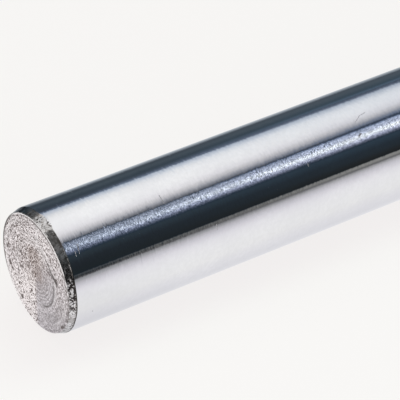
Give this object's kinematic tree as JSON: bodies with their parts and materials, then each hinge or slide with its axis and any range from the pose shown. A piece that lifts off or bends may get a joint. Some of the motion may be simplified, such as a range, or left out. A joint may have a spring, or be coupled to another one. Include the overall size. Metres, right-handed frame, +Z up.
{
  "type": "ground steel round bar",
  "caption": "Solid round bar of bright ground steel with faced and chamfered ends, used as shafting or as raw stock.",
  "frame": {"origin": "on the bar's own axis, at the middle of its length", "axes": "+X along the bar's axis, +Z up; the bar lies on its barrel, so the floor is half a diameter, 10 mm, below the origin"},
  "size_m": [0.333, 0.02, 0.02],
  "materials": {
    "ground_steel": "polished"
  },
  "bodies": {
    "root": {"round_bar": "ground_steel"}
  },
  "joints": []
}
